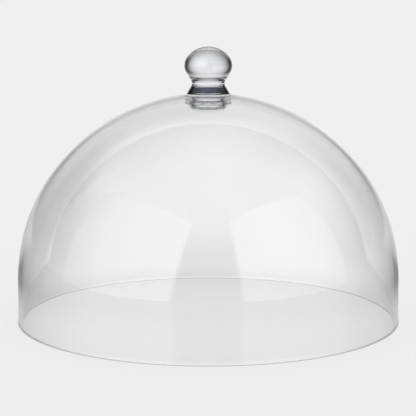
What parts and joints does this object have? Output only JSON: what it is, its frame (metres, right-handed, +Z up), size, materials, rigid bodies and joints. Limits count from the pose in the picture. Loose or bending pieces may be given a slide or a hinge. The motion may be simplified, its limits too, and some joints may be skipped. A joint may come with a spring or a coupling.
{
  "type": "buffet food cover dome",
  "caption": "Clear moulded dome that covers food on a plate or tray, open below, lifted by a waisted ball knob on its crown.",
  "frame": {"origin": "centre of the rim's flat edge, on the surface that the cover stands on", "axes": "+Z up along the cover's axis of revolution, towards the knob; X and Y are level and equal"},
  "size_m": [0.3, 0.3, 0.2142],
  "materials": {
    "clear_shell": "clear polished moulding",
    "clear_knob": "clear polished solid moulding",
    "clear_silicone": "clear soft silicone",
    "clear_ring": "clear moulding"
  },
  "bodies": {
    "dome": {"dome_shell": "clear_shell"},
    "knob": {"knob": "clear_knob", "seat_washer": "clear_silicone", "retaining_ring": "clear_ring"}
  },
  "joints": [
    {"name": "knob_swivel", "type": "hinge", "parent": "dome", "child": "knob", "pos_m": [0, 0, 0.1767], "axis": [0, 0, 1], "continuous": true}
  ]
}
